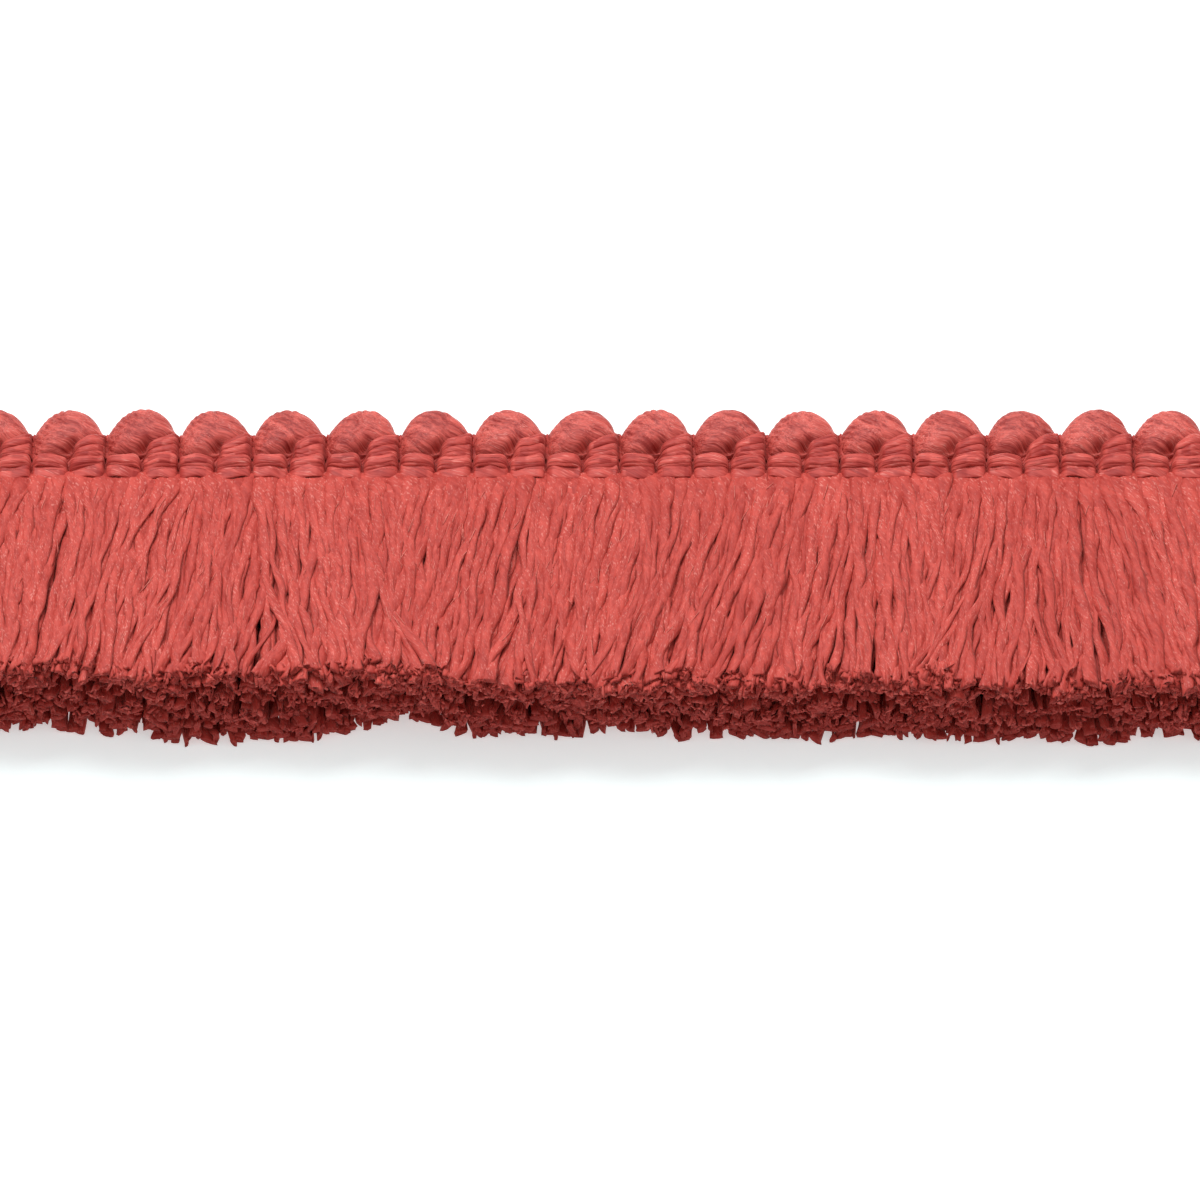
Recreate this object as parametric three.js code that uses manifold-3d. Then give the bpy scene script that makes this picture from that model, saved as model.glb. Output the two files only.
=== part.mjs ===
// A cut length of brush fringe trim, lying on its back: a narrow woven heading, edged with a scalloped
// cord, and a thick skirt of cut yarn that fans out into a brush.
// Millimetres. +Z is up from the surface, +X runs along the trim and +Y points at the scallops.
import * as THREE from "three";
import Module from "manifold-3d";

const wasm = await Module();
wasm.setup();

// Driving sizes.
const SCALLOP_PITCH = 7;
const SCALLOP_COUNT = 18;
const SKIRT_LENGTH = 29;
const PIECE_GAP = 0.3;

// Sizes that follow from them. Two weft bundles stand under each scallop.
const TRIM_LENGTH = SCALLOP_PITCH * SCALLOP_COUNT;
const BUNDLE_PITCH = SCALLOP_PITCH / 2;
const TRIM_START = -TRIM_LENGTH / 2;

// The root strips, in which the skirt's layers are fused, lie on each other inside the heading.
const STRIP_DEPTH = 1.4;
const STRIP_THICK = 0.58;
const STRIP_STEP = STRIP_THICK + PIECE_GAP;
const STRIP_LIFT = 0.02;
const ROOT_SUNK = 0.6;
const ROOT_INSET = 0.04;

// The ground tape, whose flat back is sewn or glued down.
const TAPE_START = SKIRT_LENGTH + STRIP_DEPTH + PIECE_GAP;
const TAPE_DEPTH = 3.6;
const TAPE_THICK = 0.8;

// The shape of the skirt along the trim. At each place: the brush's height at its cut edge, how far the
// ends of its upper and of its lower layers stand back from the cut line, and how far they drift along.
const SECTIONS = [
  { x: -63, height: 9.3, upper: 1.2, lower: 0.8, drift: 0 },
  { x: -57, height: 9.4, upper: 1.9, lower: 1.4, drift: -0.3 },
  { x: -52, height: 9.4, upper: 2.2, lower: 1.6, drift: -2.3 },
  { x: -46, height: 9.3, upper: 1.3, lower: 0.7, drift: -0.6 },
  { x: -38, height: 9.2, upper: 1.1, lower: 0.3, drift: -1.5 },
  { x: -31, height: 9.3, upper: 1.3, lower: 0.2, drift: 0.3 },
  { x: -25, height: 9.5, upper: 1.6, lower: 1.5, drift: 1.2 },
  { x: -18, height: 9.2, upper: 1.0, lower: 2.9, drift: -1.6 },
  { x: -11, height: 9.0, upper: 0.7, lower: 0.4, drift: -4 },
  { x: -3, height: 8.6, upper: 0.3, lower: 1.4, drift: -2.2 },
  { x: 4, height: 8.8, upper: 0.5, lower: 1.2, drift: -2.6 },
  { x: 13, height: 9.0, upper: 0.9, lower: 0.4, drift: -2.8 },
  { x: 21, height: 8.6, upper: 0.5, lower: 1.0, drift: -2.4 },
  { x: 28, height: 8.7, upper: 0.6, lower: 0.5, drift: -0.2 },
  { x: 35, height: 8.7, upper: 0.6, lower: 0.2, drift: -1.8 },
  { x: 41, height: 8.5, upper: 0.4, lower: 0.6, drift: 0.2 },
  { x: 48, height: 8.7, upper: 0.6, lower: 0.2, drift: 3 },
  { x: 55, height: 9.0, upper: 1.3, lower: 0.4, drift: 2.8 },
  { x: 63, height: 9.2, upper: 1.0, lower: 0.6, drift: 0 },
];

// The skirt's layers of cut locks, from the surface up. cutTop is the layer's upper side at the cut edge,
// as a share of the brush's height. ridge is a lock's width at its top, against that at its foot.
const LAYERS = [
  { name: "skirt_bottom", locks: 60, steps: 3, cutTop: 0.26, ridge: 0.9, colour: 0xa83f3a },
  { name: "skirt_lower", locks: 60, steps: 3, cutTop: 0.52, ridge: 0.85, colour: 0xb4453f },
  { name: "skirt_upper", locks: 72, steps: 3, cutTop: 0.78, ridge: 0.8, colour: 0xc04e47 },
  { name: "skirt_top", locks: 96, steps: 4, cutTop: 1, ridge: 0.7, colour: 0xcf5a52 },
];
const LOCK_FILL = 0.8;
const LOCK_SHIFT = 0.07;
const LENGTH_SCATTER = 0.9;
const HEIGHT_SCATTER = 0.2;
const CUT_SLANT = 0.45;
const FAN_POWER = 1.35;
const DRIFT_POWER = 1.4;

// The scalloped cord's route over one scallop, and the half sizes of its section: outward and inward in
// the plane of the scallop, and through its thickness. at is a share of the scallop's pitch. Over the
// cracks between scallops the cord's lobes press against each other.
const CORD_STATIONS = [
  { at: -0.5, y: 31.8, z: 1.9, out: 0.7, in: 0.7, deep: 0.8 },
  { at: -0.415, y: 32.4, z: 1.95, out: 0.95, in: 0.85, deep: 0.85 },
  { at: -0.343, y: 33.8, z: 2.15, out: 1.3, in: 1.25, deep: 1.0 },
  { at: -0.279, y: 35.05, z: 2.45, out: 1.8, in: 1.5, deep: 1.4 },
  { at: -0.164, y: 35.8, z: 2.6, out: 2.05, in: 1.75, deep: 1.6 },
  { at: 0, y: 36.2, z: 2.65, out: 2.4, in: 2.0, deep: 1.65 },
  { at: 0.164, y: 35.9, z: 2.5, out: 2.2, in: 1.8, deep: 1.55 },
  { at: 0.279, y: 35.1, z: 2.2, out: 1.8, in: 1.5, deep: 1.3 },
  { at: 0.343, y: 33.9, z: 2.05, out: 1.3, in: 1.25, deep: 1.0 },
  { at: 0.41, y: 32.5, z: 1.95, out: 0.95, in: 0.85, deep: 0.85 },
];
const CORD_SIDES = 8;
const SCALLOP_BASE = 33.4;
const SCALLOP_LEAN = 0.09;
const SCALLOP_RISE = 0.06;

// The three warps that bind the heading: each row's section at places along one repeat, which is one
// bundle for the middle and lower rows and one scallop for the upper one.
const WARP_SIDES = 6;
const WARPS = [
  {
    name: "warp_lower",
    colour: 0xb64640,
    repeat: BUNDLE_PITCH,
    stations: [
      { at: 0, y: 29.95, z: 3.72, tall: 0.32, thick: 0.2 },
      { at: 0.22, y: 29.95, z: 3.86, tall: 0.45, thick: 0.36 },
      { at: 0.78, y: 29.95, z: 3.86, tall: 0.45, thick: 0.36 },
    ],
  },
  {
    name: "warp_middle",
    colour: 0xbf504a,
    repeat: BUNDLE_PITCH,
    stations: [
      { at: 0, y: 31.52, z: 3.36, tall: 0.6, thick: 0.26 },
      { at: 0.2, y: 31.52, z: 3.66, tall: 0.82, thick: 0.58 },
      { at: 0.8, y: 31.52, z: 3.66, tall: 0.82, thick: 0.58 },
    ],
  },
  {
    name: "warp_upper",
    colour: 0xbd4e49,
    repeat: SCALLOP_PITCH,
    stations: [
      { at: 0, y: 33.2, z: 3.6, tall: 0.5, thick: 0.24 },
      { at: 0.12, y: 33.0, z: 3.62, tall: 0.38, thick: 0.26 },
      { at: 0.42, y: 32.95, z: 3.58, tall: 0.34, thick: 0.22 },
      { at: 0.56, y: 33.2, z: 3.82, tall: 0.66, thick: 0.5 },
      { at: 0.74, y: 33.5, z: 3.95, tall: 0.9, thick: 0.62 },
      { at: 0.92, y: 33.55, z: 3.82, tall: 0.8, thick: 0.5 },
    ],
  },
];

// A repeatable number from 0 to 1 for one piece of a row, so that no two neighbours are alike.
function scatter(row, index, salt) {
  const wave = Math.sin(row * 127.1 + index * 311.7 + salt * 74.7) * 43758.5453;
  return wave - Math.floor(wave);
}

// One column of SECTIONS at a place along the trim, eased from row to row.
function alongTrim(column, x) {
  const next = SECTIONS.findIndex((row) => row.x >= x);
  if (next <= 0) return SECTIONS[next === 0 ? 0 : SECTIONS.length - 1][column];
  const from = SECTIONS[next - 1];
  const to = SECTIONS[next];
  const share = THREE.MathUtils.smoothstep(x, from.x, to.x);
  return THREE.MathUtils.lerp(from[column], to[column], share);
}

// A closed skin over rings of points that run anticlockwise about the way they follow each other.
function skinOver(rings) {
  const sides = rings[0].length;
  const faces = [];
  for (let ring = 0; ring + 1 < rings.length; ring++) {
    for (let side = 0; side < sides; side++) {
      const near = ring * sides + side;
      const far = ring * sides + ((side + 1) % sides);
      faces.push(near, far, far + sides, near, far + sides, near + sides);
    }
  }
  const last = (rings.length - 1) * sides;
  for (let side = 1; side + 1 < sides; side++) {
    faces.push(0, side + 1, side);
    faces.push(last, last + side, last + side + 1);
  }
  const skin = new THREE.BufferGeometry().setFromPoints(rings.flat());
  skin.setIndex(faces);
  return skin;
}

// A box between two corners, with its shared corners merged as the joins need them.
function boxBetween(low, high) {
  const ring = (x) => [
    new THREE.Vector3(x, low.y, low.z),
    new THREE.Vector3(x, high.y, low.z),
    new THREE.Vector3(x, high.y, high.z),
    new THREE.Vector3(x, low.y, high.z),
  ];
  return skinOver([ring(low.x), ring(high.x)]);
}

// Fuses closed skins into one solid.
function fused(skins) {
  const solids = skins.map(
    (skin) =>
      new wasm.Manifold(
        new wasm.Mesh({
          numProp: 3,
          vertProperties: new Float32Array(skin.getAttribute("position").array),
          triVerts: new Uint32Array(skin.index.array),
        }),
      ),
  );
  const whole = solids.reduce((made, solid) => made.add(solid)).getMesh();
  const skin = new THREE.BufferGeometry();
  skin.setAttribute("position", new THREE.BufferAttribute(whole.vertProperties, 3));
  skin.setIndex(new THREE.BufferAttribute(whole.triVerts, 1));
  return skin;
}

function piece(name, geometry, colour) {
  geometry.computeVertexNormals();
  const yarn = new THREE.MeshStandardMaterial({ color: colour, roughness: 0.75, metalness: 0 });
  const mesh = new THREE.Mesh(geometry, yarn);
  mesh.name = name;
  return mesh;
}

// One of the surfaces between the skirt's layers: its height at a share of the way to the cut edge.
function surfaceHeight(rootHeight, cutShare, x, out) {
  const fan = 1 - (1 - out) ** FAN_POWER;
  return THREE.MathUtils.lerp(rootHeight, cutShare * alongTrim("height", x), fan);
}

// The rings of one lock, from inside its root strip out to its cut end.
function lockRings(layer, depth, lock) {
  const pitch = TRIM_LENGTH / layer.locks;
  const cellStart = TRIM_START + lock * pitch;
  const x = cellStart + pitch / 2;
  const level = depth / (LAYERS.length - 1);
  const setback = THREE.MathUtils.lerp(alongTrim("lower", x), alongTrim("upper", x), level);
  const cutY = setback + LENGTH_SCATTER * scatter(depth, lock, 1) - LENGTH_SCATTER / 2;
  const shift = LOCK_SHIFT * (2 * scatter(depth, lock, 2) - 1);
  const lowered = HEIGHT_SCATTER * scatter(depth, lock, 3);
  const slant = CUT_SLANT * (scatter(depth, lock, 4) - 0.5);
  const footRoot = depth * STRIP_STEP + STRIP_LIFT + ROOT_INSET;
  const crownRoot = footRoot + STRIP_THICK - 2 * ROOT_INSET;
  const footShare = depth ? LAYERS[depth - 1].cutTop : 0;
  const footGap = depth ? PIECE_GAP : 0;

  const ring = (y, tilt) => {
    const out = THREE.MathUtils.clamp(1 - y / SKIRT_LENGTH, 0, 1);
    const drifted = (edge) => edge + (0.35 + 0.65 * level) * alongTrim("drift", edge) * out ** DRIFT_POWER;
    const left = drifted(cellStart);
    const right = drifted(cellStart + pitch);
    const middle = (left + right) / 2 + shift * (right - left) * out;
    const half = (LOCK_FILL * (right - left)) / 2;
    const ridge = half * THREE.MathUtils.lerp(1, layer.ridge, Math.min(out * 3, 1));
    const onLayerBelow = surfaceHeight(footRoot, footShare, x, out) + footGap * out;
    const onSurface = out > 0 ? 0 : footRoot;
    const rest = depth ? onLayerBelow : onSurface;
    const crown = surfaceHeight(crownRoot, layer.cutTop, x, out) - lowered * out;
    return [
      new THREE.Vector3(middle - half, y + tilt, rest),
      new THREE.Vector3(middle + half, y + tilt, rest),
      new THREE.Vector3(middle + ridge, y - tilt, crown),
      new THREE.Vector3(middle - ridge, y - tilt, crown),
    ];
  };

  const rings = [ring(SKIRT_LENGTH + ROOT_SUNK, 0)];
  for (let step = 0; step < layer.steps; step++) {
    rings.push(ring(THREE.MathUtils.lerp(SKIRT_LENGTH, cutY, step / layer.steps), 0));
  }
  return [...rings, ring(cutY, slant)];
}

// One layer of the skirt: its locks stand apart, and their roots are fused into a narrow strip.
function skirtLayer(layer, depth) {
  const low = new THREE.Vector3(TRIM_START, SKIRT_LENGTH, depth * STRIP_STEP + STRIP_LIFT);
  const high = new THREE.Vector3(-TRIM_START, SKIRT_LENGTH + STRIP_DEPTH, low.z + STRIP_THICK);
  const skins = [boxBetween(low, high)];
  for (let lock = 0; lock < layer.locks; lock++) skins.push(skinOver(lockRings(layer, depth, lock)));
  return piece(layer.name, fused(skins), layer.colour);
}

// The flat ground tape at the back of the heading.
function groundTape() {
  const low = new THREE.Vector3(TRIM_START, TAPE_START, 0);
  const high = new THREE.Vector3(-TRIM_START, TAPE_START + TAPE_DEPTH, TAPE_THICK);
  return piece("ground_tape", boxBetween(low, high), 0xb04640);
}

// A binding warp: a yarn that swells over each bundle and dips between two.
function bindingWarp(warp) {
  const rings = [];
  const addRing = (station, x) => {
    const ring = [];
    for (let side = 0; side < WARP_SIDES; side++) {
      const turn = ((side + 0.5) / WARP_SIDES) * 2 * Math.PI;
      const y = station.y + station.tall * Math.cos(turn);
      ring.push(new THREE.Vector3(x, y, station.z + station.thick * Math.sin(turn)));
    }
    rings.push(ring);
  };
  for (let start = 0; start < TRIM_LENGTH; start += warp.repeat) {
    for (const station of warp.stations) addRing(station, TRIM_START + start + station.at * warp.repeat);
  }
  addRing(warp.stations[0], -TRIM_START);
  return piece(warp.name, skinOver(rings), warp.colour);
}

// One scallop's stretch of the cord: a lobe, from the middle of one crack to the middle of the next.
function scallopLobe(scallop) {
  const centre = TRIM_START + (scallop + 0.5) * SCALLOP_PITCH;
  const lean = SCALLOP_LEAN * (2 * scatter(LAYERS.length, scallop, 1) - 1);
  const rise = SCALLOP_RISE * (2 * scatter(LAYERS.length, scallop, 2) - 1);
  const stations = [...CORD_STATIONS, { ...CORD_STATIONS[0], at: 0.5 }].map((station) => {
    const free = Math.max(station.y - SCALLOP_BASE, 0);
    const x = centre + station.at * SCALLOP_PITCH + lean * free;
    return { ...station, point: new THREE.Vector3(x, station.y + rise * free, station.z) };
  });

  const up = new THREE.Vector3(0, 0, 1);
  const rings = stations.map((station, index) => {
    const before = stations[index - 1] ?? station;
    const after = stations[index + 1] ?? station;
    const along = after.point.clone().sub(before.point);
    along.z = 0;
    if (before === station || after === station) along.set(1, 0, 0);
    const outward = up.clone().cross(along.normalize());
    const ring = [];
    for (let side = 0; side < CORD_SIDES; side++) {
      const turn = (side / CORD_SIDES) * 2 * Math.PI;
      const across = Math.cos(turn) * (Math.cos(turn) > 0 ? station.out : station.in);
      const point = station.point.clone().addScaledVector(outward, across);
      ring.push(point.addScaledVector(up, Math.sin(turn) * station.deep));
    }
    return ring;
  });
  return skinOver(rings);
}

// The scalloped cord: one thick soft yarn that swells into a lobe over each scallop and draws in under
// the warps on its way to the next one.
function scallopCord() {
  const lobes = [];
  for (let scallop = 0; scallop < SCALLOP_COUNT; scallop++) lobes.push(scallopLobe(scallop));
  return piece("scallop_cord", fused(lobes), 0xc2534c);
}

const trim = new THREE.Group();
trim.add(groundTape(), scallopCord());
for (const warp of WARPS) trim.add(bindingWarp(warp));
LAYERS.forEach((layer, depth) => trim.add(skirtLayer(layer, depth)));

// The origin is the middle of the trim's footprint, on the surface.
const extent = new THREE.Box3().setFromObject(trim);
const middle = extent.getCenter(new THREE.Vector3());
trim.position.set(-middle.x, -middle.y, -extent.min.z);

export default trim;
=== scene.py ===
# A cut length of brush fringe trim in coral yarn, lying on its back: woven heading, corded edge, cut skirt.
# Lengths are in millimetres from the skirt's cut line until laid() puts them in the part's frame, in metres.
import math

import bpy
import numpy as np
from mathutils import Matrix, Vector


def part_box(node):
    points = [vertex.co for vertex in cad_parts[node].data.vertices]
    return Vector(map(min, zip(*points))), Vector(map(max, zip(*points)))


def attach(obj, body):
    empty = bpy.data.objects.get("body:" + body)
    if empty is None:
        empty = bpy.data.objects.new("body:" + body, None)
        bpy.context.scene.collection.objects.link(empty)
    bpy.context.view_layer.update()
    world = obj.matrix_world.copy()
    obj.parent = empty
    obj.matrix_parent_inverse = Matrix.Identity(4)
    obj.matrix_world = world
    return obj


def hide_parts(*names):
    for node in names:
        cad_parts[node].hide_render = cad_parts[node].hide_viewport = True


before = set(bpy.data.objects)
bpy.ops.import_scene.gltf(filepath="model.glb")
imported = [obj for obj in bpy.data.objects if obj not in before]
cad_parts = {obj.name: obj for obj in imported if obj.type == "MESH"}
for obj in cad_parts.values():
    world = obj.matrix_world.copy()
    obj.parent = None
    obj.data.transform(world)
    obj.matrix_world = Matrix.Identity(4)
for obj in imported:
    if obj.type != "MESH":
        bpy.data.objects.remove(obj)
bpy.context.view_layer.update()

# The view, chosen first: a long lens square to the trim, well above it, as one looks down on a table.
# A scallop takes about a sixteenth of the picture's width.
VIEW_ELEVATION = math.radians(50)
VIEW_DISTANCE = 1.3
VIEW_WIDTH = 0.1138
SENSOR_WIDTH = 36
AIM = Vector((-0.00184, -0.00166, 0))

lens = bpy.data.cameras.new("view")
lens.sensor_width = SENSOR_WIDTH
lens.lens = SENSOR_WIDTH * VIEW_DISTANCE / VIEW_WIDTH
lens.clip_end = 20
camera = bpy.data.objects.new("view", lens)
camera.location = AIM + VIEW_DISTANCE * Vector((0, -math.cos(VIEW_ELEVATION), math.sin(VIEW_ELEVATION)))
camera.rotation_euler = (math.pi / 2 - VIEW_ELEVATION, 0, 0)
bpy.context.scene.collection.objects.link(camera)
bpy.context.scene.camera = camera


# The ground tape at the back of the heading: coral cotton, woven narrow and tight, with ribs along its
# length. It lies flat on the surface, and is what gets sewn or glued down.
MILLIMETRE = 0.001
TRIM_LENGTH = 126
TAPE_FROM_CUT = 30.7
TAPE_RIBS = 7
TAPE_PICK = 0.9
TAPE_RELIEF = 0.07
RIB_SIDES = 8
RIB_OVERLAP = 0.52
TAPE_COLOUR = {"deep": (0.30, 0.035, 0.028), "light": (0.50, 0.075, 0.06)}

tape_low, tape_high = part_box("ground_tape")
CUT_LINE = tape_low.y / MILLIMETRE - TAPE_FROM_CUT


def laid(points):
    """Points in millimetres from the cut line, in the part's own frame, in metres."""
    return (np.asarray(points, float) + (0, CUT_LINE, 0)) * MILLIMETRE


class Shade:
    """One outlet of a finish's nodes. Sums on it add Math nodes, and node() adds any other."""

    def __init__(self, tree, socket=None):
        self.tree = tree
        self.socket = socket

    def node(self, kind, settings=None, sockets=None, outlet=0):
        made = self.tree.nodes.new(kind)
        for name, value in (settings or {}).items():
            setattr(made, name, value)
        for name, value in (sockets or {}).items():
            if isinstance(value, Shade):
                self.tree.links.new(value.socket, made.inputs[name])
            else:
                made.inputs[name].default_value = value
        return Shade(self.tree, made.outputs[outlet])

    def sum_of(self, operation, first, second):
        return self.node("ShaderNodeMath", {"operation": operation}, {0: first, 1: second})

    def __add__(self, other):
        return self.sum_of("ADD", self, other)

    def __mul__(self, other):
        return self.sum_of("MULTIPLY", self, other)

    __radd__ = __add__
    __rmul__ = __mul__

    def dyed(self, first, second):
        """The colour from first to second that this value picks."""
        colours = {0: self, 6: first, 7: second}
        return self.node("ShaderNodeMix", {"data_type": "RGBA"}, colours, outlet=2)


# Each grain is a scale against the filaments, and a detail. A speck shows where its noise passes the level.
FINE_GRAIN = (1, 2)
BROAD_GRAIN = (0.35, 1)
SPECK_GRAIN = (2.2, 0)
SPECK_CONTRAST = 5
SPECK_LEVEL = 3
SPECK_COLOUR = (0.85, 0.32, 0.27, 1)
TONE_SHARE = 0.5
GLOSS_GRAIN = 0.25
FINE_RELIEF = 0.7
BROAD_RELIEF = 0.6
RELIEF_STRENGTH = 0.55
RELIEF_DEPTH = 0.0002
YARN_SURFACE = {
    "Specular IOR Level": 0.3,
    "Sheen Weight": 0.12,
    "Sheen Roughness": 0.45,
    "Sheen Tint": (1, 0.45, 0.4, 1),
}


def yarn_finish(name, colour, filament, gloss, flecks=0.3, grain=1.1, cut_and_shade_colour=None):
    """Spun yarn: fine filaments along its twist, a tone of its own for each strand, and darker cut ends,
    whose colour is partly their own and partly painted shade on the cut face.
    """
    finish = bpy.data.materials.new(name)
    finish.use_nodes = True
    tree = finish.node_tree
    skin = tree.nodes["Principled BSDF"]
    start = Shade(tree)
    lay = start.node("ShaderNodeAttribute", {"attribute_name": "lay"}, outlet="Vector")
    tone = start.node("ShaderNodeAttribute", {"attribute_name": "tone"}, outlet="Fac")
    fine, broad, speck = (
        start.node("ShaderNodeTexNoise", sockets={"Vector": lay, "Scale": scale / filament, "Detail": detail})
        for scale, detail in (FINE_GRAIN, BROAD_GRAIN, SPECK_GRAIN))
    mixed = tone * TONE_SHARE + fine * grain + broad * grain + (0.5 - TONE_SHARE / 2 - grain)
    shade = mixed.dyed((*colour["deep"], 1), (*colour["light"], 1))
    pale = start.node(
        "ShaderNodeMath", {"operation": "MULTIPLY_ADD", "use_clamp": True},
        {0: speck, 1: SPECK_CONTRAST, 2: -SPECK_LEVEL})
    shade = (pale * tone * (2 * flecks)).dyed(shade, SPECK_COLOUR)
    if cut_and_shade_colour:
        # Cut ends take the darker cut colour: partly the blunt ends' own, partly painted shade on the cut
        # face.
        cut = start.node("ShaderNodeAttribute", {"attribute_name": "cut"}, outlet="Fac")
        shade = cut.dyed(shade, (*cut_and_shade_colour, 1))
    rough = fine * GLOSS_GRAIN + gloss
    relief = fine * FINE_RELIEF + broad * BROAD_RELIEF
    bump = start.node("ShaderNodeBump", sockets={
        "Height": relief, "Strength": RELIEF_STRENGTH, "Distance": RELIEF_DEPTH})
    for socket, value in (("Base Color", shade), ("Roughness", rough), ("Normal", bump)):
        tree.links.new(value.socket, skin.inputs[socket])
    for socket, value in YARN_SURFACE.items():
        skin.inputs[socket].default_value = value
    return finish


def spun(name, rings, lay, tone, cut, finish, node):
    """Closed strands as one piece, in place of a CAD node if it has one. rings[strand, step, side] are
    points, lay gives each point's place on its strand as the filaments see it, tone picks its shade from
    deep to light, and cut says how much of it takes the darker cut colour, which is partly cut end and
    partly painted shade."""
    strands, steps, sides, _ = rings.shape
    corner = np.arange(strands * steps * sides).reshape(strands, steps, sides)
    after = np.roll(corner, -1, axis=2)
    skin = np.stack([corner[:, :-1], after[:, :-1], after[:, 1:], corner[:, 1:]], axis=-1).reshape(-1, 4)
    ends = np.concatenate([corner[:, 0, ::-1], corner[:, -1]])
    loops = np.concatenate([skin.ravel(), ends.ravel()])
    starts = np.concatenate([
        np.arange(len(skin)) * 4,
        len(skin) * 4 + np.arange(len(ends)) * sides,
    ])
    mesh = bpy.data.meshes.new(name)
    mesh.vertices.add(corner.size)
    mesh.vertices.foreach_set("co", laid(rings.reshape(-1, 3)).astype(np.float32).ravel())
    mesh.loops.add(len(loops))
    mesh.loops.foreach_set("vertex_index", loops.astype(np.int32))
    mesh.polygons.add(len(starts))
    mesh.polygons.foreach_set("loop_start", starts.astype(np.int32))
    mesh.polygons.foreach_set("use_smooth", np.ones(len(starts), bool))
    mesh.update(calc_edges=True)

    whole = (strands, steps, sides)
    lay_at = mesh.attributes.new("lay", "FLOAT_VECTOR", "POINT")
    lay_at.data.foreach_set("vector", lay.reshape(-1, 3).astype(np.float32).ravel())
    for label, values in (("tone", tone), ("cut", cut)):
        held = mesh.attributes.new(label, "FLOAT", "POINT")
        held.data.foreach_set("value", np.broadcast_to(values, whole).astype(np.float32).ravel())
    unroll(mesh, strands, steps, sides)
    mesh.materials.append(finish)

    piece = bpy.data.objects.new(name, mesh)
    bpy.context.scene.collection.objects.link(piece)
    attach(piece, "root")
    if node:
        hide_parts(node)


# The flat map's cells are about this much longer than wide, with these margins, and hold the ends' discs.
CELL_LENGTH = 8
SIDE_MARGIN = 0.05
END_MARGIN = 0.06
DISC_MIDDLE = 0.025
DISC_HALF = (0.4, 0.02)


def unroll(mesh, strands, steps, sides):
    """A flat map with a cell for each strand, slit along its length, and its two ends at the cell's ends."""
    columns = math.ceil(math.sqrt(strands * CELL_LENGTH))
    rows = math.ceil(strands / columns)
    strand = np.arange(strands)
    cell = np.stack([strand % columns / columns, strand // columns / rows], axis=-1)
    size = np.array([1 / columns, 1 / rows])
    side = np.arange(sides + 1) / sides * (1 - 2 * SIDE_MARGIN) + SIDE_MARGIN
    step = np.arange(steps) / (steps - 1) * (1 - 2 * END_MARGIN) + END_MARGIN
    across, down = np.meshgrid(side, step)
    grid = np.stack([across, down], axis=-1)
    skin = np.stack([grid[:-1, :-1], grid[:-1, 1:], grid[1:, 1:], grid[1:, :-1]], axis=2)
    turn = np.arange(sides) / sides * 2 * np.pi
    disc = np.stack([0.5 + DISC_HALF[0] * np.cos(turn), DISC_MIDDLE + DISC_HALF[1] * np.sin(turn)], axis=-1)
    skin = cell[:, None, None, None] + skin[None] * size
    first = cell[:, None] + disc[::-1] * size
    last = cell[:, None] + (disc + (0, 1 - 2 * DISC_MIDDLE)) * size
    flat = np.concatenate([skin.reshape(-1, 2), first.reshape(-1, 2), last.reshape(-1, 2)])
    held = mesh.uv_layers.new(name="OFBake")
    held.uv.foreach_set("vector", flat.astype(np.float32).ravel())


LAY_STRETCH = 0.14


def twisted(sides, along, radius, turns):
    """Angles about a strand, and where each point lies for filaments that wind round it. Along the strand
    the lay is drawn out, so that its noise makes long filaments."""
    angle = np.arange(sides) / sides * 2 * np.pi
    wound = angle - turns * along[..., None] * 2 * np.pi
    lay = np.stack(np.broadcast_arrays(
        radius * np.cos(wound), radius * np.sin(wound), along[..., None] * LAY_STRETCH), axis=-1)
    return angle, lay


tape_steps = round(TRIM_LENGTH / TAPE_PICK * 3)
tape_x = np.linspace(-TRIM_LENGTH / 2, TRIM_LENGTH / 2, tape_steps)
tape_depth = (tape_high.y - tape_low.y) / MILLIMETRE
tape_thick = (tape_high.z - tape_low.z) / MILLIMETRE
rib_step = tape_depth / TAPE_RIBS
rib = np.arange(TAPE_RIBS)
rib_middle = TAPE_FROM_CUT + (rib + 0.5) * rib_step
rib_angle, tape_lay = twisted(RIB_SIDES, np.broadcast_to(tape_x, (TAPE_RIBS, tape_steps)), rib_step / 2, 0.8)
over = np.cos(np.pi * (tape_x[None, :] / TAPE_PICK + rib[:, None]))
rib_half = tape_thick / 2 - TAPE_RELIEF
tape_rings = np.empty((TAPE_RIBS, tape_steps, RIB_SIDES, 3))
tape_rings[..., 0] = tape_x[None, :, None]
tape_rings[..., 1] = rib_middle[:, None, None] + rib_step * RIB_OVERLAP * np.cos(rib_angle)
tape_rings[..., 2] = tape_thick / 2 + TAPE_RELIEF * over[..., None] + rib_half * np.sin(rib_angle)
tape_finish = yarn_finish("heading_ground", TAPE_COLOUR, filament=0.09, gloss=0.5)
tape_tone = np.random.default_rng(3).random((TAPE_RIBS, 1, 1))
spun(
    "ground_weave", tape_rings, tape_lay + tape_tone[..., None] * 9, tape_tone, 0, tape_finish,
    "ground_tape")


# The scalloped edge: one thick soft cord of coral viscose, laid from many filaments, that swells into a
# full lobe over each scallop and draws in under the heading's warps on its way to the next one. Its
# filaments slant from the upper left to the lower right, where each lobe folds down under the binding.
SCALLOP_PITCH = 7
SCALLOPS = round(TRIM_LENGTH / SCALLOP_PITCH)

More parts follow.
